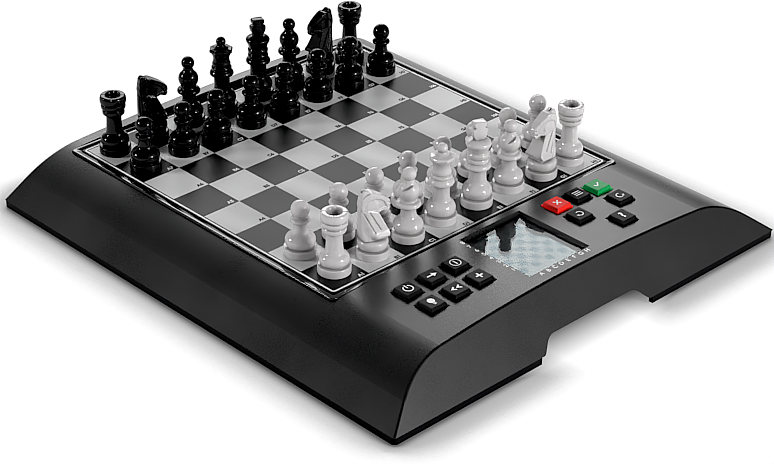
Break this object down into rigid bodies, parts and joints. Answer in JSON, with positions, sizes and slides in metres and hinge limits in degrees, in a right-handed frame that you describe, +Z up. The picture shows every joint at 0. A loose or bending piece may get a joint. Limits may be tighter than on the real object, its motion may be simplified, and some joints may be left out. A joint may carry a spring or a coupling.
{
  "type": "electronic chess computer",
  "caption": "Desktop chess computer: crowned black case with a let-in checkered board, square display well, push keys either side, front finger notch and a set of chessmen.",
  "frame": {"origin": "middle of the footprint on the table, under the rubber feet", "axes": "+X from the a-file to the h-file, +Y from the key panel towards the far side, +Z up"},
  "size_m": [0.2838, 0.3064, 0.0764],
  "materials": {
    "case_plastic": "fine satin moulded texture",
    "tray_plastic": "satin",
    "gloss_black": "polished",
    "board_print": "printed squares, satin",
    "membrane_film": "film",
    "clear_pane": "clear, polished",
    "display_glass": "liquid-crystal glass",
    "circuit_laminate": "solder resist",
    "silicone": "matte",
    "speaker_metal": "satin",
    "contact_metal": "plated",
    "cell_wrap": "satin wrap",
    "foot_rubber": "matte",
    "screw_steel": "zinc plated",
    "key_black": "semi-gloss",
    "key_red": "semi-gloss",
    "key_green": "semi-gloss",
    "men_white": "polished",
    "men_black": "polished"
  },
  "bodies": {
    "case": {"upper_case": "case_plastic", "lower_case": "tray_plastic", "board_frame": "gloss_black", "board_panel": "board_print", "sensor_membrane": "membrane_film", "display_window": "clear_pane", "display_module": "display_glass", "main_circuit_board": "circuit_laminate", "key_mats": "silicone", "speaker": "speaker_metal", "power_socket": "tray_plastic", "battery_contacts": "contact_metal", "batteries": "cell_wrap", "rubber_feet": "foot_rubber", "case_screws": "screw_steel"},
    "battery_door": {"battery_door": "tray_plastic"},
    "key_power": {"key_power": "key_black"},
    "key_hint": {"key_hint": "key_black"},
    "key_info": {"key_info": "key_black"},
    "key_light": {"key_light": "key_black"},
    "key_takeback": {"key_takeback": "key_black"},
    "key_new": {"key_new": "key_black"},
    "key_clear": {"key_clear": "key_red"},
    "key_menu": {"key_menu": "key_black"},
    "key_enter": {"key_enter": "key_green"},
    "key_left": {"key_left": "key_black"},
    "key_right": {"key_right": "key_black"},
    "key_help": {"key_help": "key_black"},
    "white_rook_a": {"white_rook_a": "men_white"},
    "white_knight_b": {"white_knight_b": "men_white"},
    "white_bishop_c": {"white_bishop_c": "men_white"},
    "white_queen": {"white_queen": "men_white"},
    "white_king": {"white_king": "men_white"},
    "white_bishop_f": {"white_bishop_f": "men_white"},
    "white_knight_g": {"white_knight_g": "men_white"},
    "white_rook_h": {"white_rook_h": "men_white"},
    "white_pawn_a": {"white_pawn_a": "men_white"},
    "white_pawn_b": {"white_pawn_b": "men_white"},
    "white_pawn_c": {"white_pawn_c": "men_white"},
    "white_pawn_d": {"white_pawn_d": "men_white"},
    "white_pawn_e": {"white_pawn_e": "men_white"},
    "white_pawn_f": {"white_pawn_f": "men_white"},
    "white_pawn_g": {"white_pawn_g": "men_white"},
    "white_pawn_h": {"white_pawn_h": "men_white"},
    "black_rook_a": {"black_rook_a": "men_black"},
    "black_knight_b": {"black_knight_b": "men_black"},
    "black_bishop_c": {"black_bishop_c": "men_black"},
    "black_queen": {"black_queen": "men_black"},
    "black_king": {"black_king": "men_black"},
    "black_bishop_f": {"black_bishop_f": "men_black"},
    "black_knight_g": {"black_knight_g": "men_black"},
    "black_rook_h": {"black_rook_h": "men_black"},
    "black_pawn_a": {"black_pawn_a": "men_black"},
    "black_pawn_b": {"black_pawn_b": "men_black"},
    "black_pawn_c": {"black_pawn_c": "men_black"},
    "black_pawn_d": {"black_pawn_d": "men_black"},
    "black_pawn_e": {"black_pawn_e": "men_black"},
    "black_pawn_f": {"black_pawn_f": "men_black"},
    "black_pawn_g": {"black_pawn_g": "men_black"},
    "black_pawn_h": {"black_pawn_h": "men_black"}
  },
  "joints": [
    {"name": "key_power_press", "type": "slide", "parent": "case", "child": "key_power", "axis": [0, 0, -1], "range_m": [0, 0.0012], "stiffness_N_per_m": 300, "deforming": ["key_mats"]},
    {"name": "key_hint_press", "type": "slide", "parent": "case", "child": "key_hint", "axis": [0, 0, -1], "range_m": [0, 0.0012], "stiffness_N_per_m": 300, "deforming": ["key_mats"]},
    {"name": "key_info_press", "type": "slide", "parent": "case", "child": "key_info", "axis": [0, 0, -1], "range_m": [0, 0.0012], "stiffness_N_per_m": 300, "deforming": ["key_mats"]},
    {"name": "key_light_press", "type": "slide", "parent": "case", "child": "key_light", "axis": [0, 0, -1], "range_m": [0, 0.0012], "stiffness_N_per_m": 300, "deforming": ["key_mats"]},
    {"name": "key_takeback_press", "type": "slide", "parent": "case", "child": "key_takeback", "axis": [0, 0, -1], "range_m": [0, 0.0012], "stiffness_N_per_m": 300, "deforming": ["key_mats"]},
    {"name": "key_new_press", "type": "slide", "parent": "case", "child": "key_new", "axis": [0, 0, -1], "range_m": [0, 0.0012], "stiffness_N_per_m": 300, "deforming": ["key_mats"]},
    {"name": "key_clear_press", "type": "slide", "parent": "case", "child": "key_clear", "axis": [0, 0, -1], "range_m": [0, 0.0012], "stiffness_N_per_m": 300, "deforming": ["key_mats"]},
    {"name": "key_menu_press", "type": "slide", "parent": "case", "child": "key_menu", "axis": [0, 0, -1], "range_m": [0, 0.0012], "stiffness_N_per_m": 300, "deforming": ["key_mats"]},
    {"name": "key_enter_press", "type": "slide", "parent": "case", "child": "key_enter", "axis": [0, 0, -1], "range_m": [0, 0.0012], "stiffness_N_per_m": 300, "deforming": ["key_mats"]},
    {"name": "key_left_press", "type": "slide", "parent": "case", "child": "key_left", "axis": [0, 0, -1], "range_m": [0, 0.0012], "stiffness_N_per_m": 300, "deforming": ["key_mats"]},
    {"name": "key_right_press", "type": "slide", "parent": "case", "child": "key_right", "axis": [0, 0, -1], "range_m": [0, 0.0012], "stiffness_N_per_m": 300, "deforming": ["key_mats"]},
    {"name": "key_help_press", "type": "slide", "parent": "case", "child": "key_help", "axis": [0, 0, -1], "range_m": [0, 0.0012], "stiffness_N_per_m": 300, "deforming": ["key_mats"]},
    {"name": "battery_door_hinge", "type": "hinge", "parent": "case", "child": "battery_door", "pos_m": [-0.065, 0.1329, 0.0022], "axis": [1, 0, 0], "range_deg": [0, 95]},
    {"name": "white_king_lift", "type": "slide", "parent": "case", "child": "white_king", "axis": [0, 0, 1], "range_m": [0, 0.08]},
    {"name": "white_knight_b_lift", "type": "slide", "parent": "case", "child": "white_knight_b", "axis": [0, 0, 1], "range_m": [0, 0.08]},
    {"name": "white_pawn_a_lift", "type": "slide", "parent": "case", "child": "white_pawn_a", "axis": [0, 0, 1], "range_m": [0, 0.08]},
    {"name": "black_queen_lift", "type": "slide", "parent": "case", "child": "black_queen", "axis": [0, 0, 1], "range_m": [0, 0.08]},
    {"name": "black_bishop_c_lift", "type": "slide", "parent": "case", "child": "black_bishop_c", "axis": [0, 0, 1], "range_m": [0, 0.08]},
    {"name": "black_rook_a_lift", "type": "slide", "parent": "case", "child": "black_rook_a", "axis": [0, 0, 1], "range_m": [0, 0.08]},
    {"name": "white_rook_a_lift", "type": "slide", "parent": "case", "child": "white_rook_a", "axis": [0, 0, 1], "range_m": [0, 0.08]},
    {"name": "white_bishop_c_lift", "type": "slide", "parent": "case", "child": "white_bishop_c", "axis": [0, 0, 1], "range_m": [0, 0.08]},
    {"name": "white_queen_lift", "type": "slide", "parent": "case", "child": "white_queen", "axis": [0, 0, 1], "range_m": [0, 0.08]},
    {"name": "white_bishop_f_lift", "type": "slide", "parent": "case", "child": "white_bishop_f", "axis": [0, 0, 1], "range_m": [0, 0.08]},
    {"name": "white_knight_g_lift", "type": "slide", "parent": "case", "child": "white_knight_g", "axis": [0, 0, 1], "range_m": [0, 0.08]},
    {"name": "white_rook_h_lift", "type": "slide", "parent": "case", "child": "white_rook_h", "axis": [0, 0, 1], "range_m": [0, 0.08]},
    {"name": "white_pawn_b_lift", "type": "slide", "parent": "case", "child": "white_pawn_b", "axis": [0, 0, 1], "range_m": [0, 0.08]},
    {"name": "white_pawn_c_lift", "type": "slide", "parent": "case", "child": "white_pawn_c", "axis": [0, 0, 1], "range_m": [0, 0.08]},
    {"name": "white_pawn_d_lift", "type": "slide", "parent": "case", "child": "white_pawn_d", "axis": [0, 0, 1], "range_m": [0, 0.08]},
    {"name": "white_pawn_e_lift", "type": "slide", "parent": "case", "child": "white_pawn_e", "axis": [0, 0, 1], "range_m": [0, 0.08]},
    {"name": "white_pawn_f_lift", "type": "slide", "parent": "case", "child": "white_pawn_f", "axis": [0, 0, 1], "range_m": [0, 0.08]},
    {"name": "white_pawn_g_lift", "type": "slide", "parent": "case", "child": "white_pawn_g", "axis": [0, 0, 1], "range_m": [0, 0.08]},
    {"name": "white_pawn_h_lift", "type": "slide", "parent": "case", "child": "white_pawn_h", "axis": [0, 0, 1], "range_m": [0, 0.08]},
    {"name": "black_knight_b_lift", "type": "slide", "parent": "case", "child": "black_knight_b", "axis": [0, 0, 1], "range_m": [0, 0.08]},
    {"name": "black_king_lift", "type": "slide", "parent": "case", "child": "black_king", "axis": [0, 0, 1], "range_m": [0, 0.08]},
    {"name": "black_bishop_f_lift", "type": "slide", "parent": "case", "child": "black_bishop_f", "axis": [0, 0, 1], "range_m": [0, 0.08]},
    {"name": "black_knight_g_lift", "type": "slide", "parent": "case", "child": "black_knight_g", "axis": [0, 0, 1], "range_m": [0, 0.08]},
    {"name": "black_rook_h_lift", "type": "slide", "parent": "case", "child": "black_rook_h", "axis": [0, 0, 1], "range_m": [0, 0.08]},
    {"name": "black_pawn_a_lift", "type": "slide", "parent": "case", "child": "black_pawn_a", "axis": [0, 0, 1], "range_m": [0, 0.08]},
    {"name": "black_pawn_b_lift", "type": "slide", "parent": "case", "child": "black_pawn_b", "axis": [0, 0, 1], "range_m": [0, 0.08]},
    {"name": "black_pawn_c_lift", "type": "slide", "parent": "case", "child": "black_pawn_c", "axis": [0, 0, 1], "range_m": [0, 0.08]},
    {"name": "black_pawn_d_lift", "type": "slide", "parent": "case", "child": "black_pawn_d", "axis": [0, 0, 1], "range_m": [0, 0.08]},
    {"name": "black_pawn_e_lift", "type": "slide", "parent": "case", "child": "black_pawn_e", "axis": [0, 0, 1], "range_m": [0, 0.08]},
    {"name": "black_pawn_f_lift", "type": "slide", "parent": "case", "child": "black_pawn_f", "axis": [0, 0, 1], "range_m": [0, 0.08]},
    {"name": "black_pawn_g_lift", "type": "slide", "parent": "case", "child": "black_pawn_g", "axis": [0, 0, 1], "range_m": [0, 0.08]},
    {"name": "black_pawn_h_lift", "type": "slide", "parent": "case", "child": "black_pawn_h", "axis": [0, 0, 1], "range_m": [0, 0.08]}
  ]
}
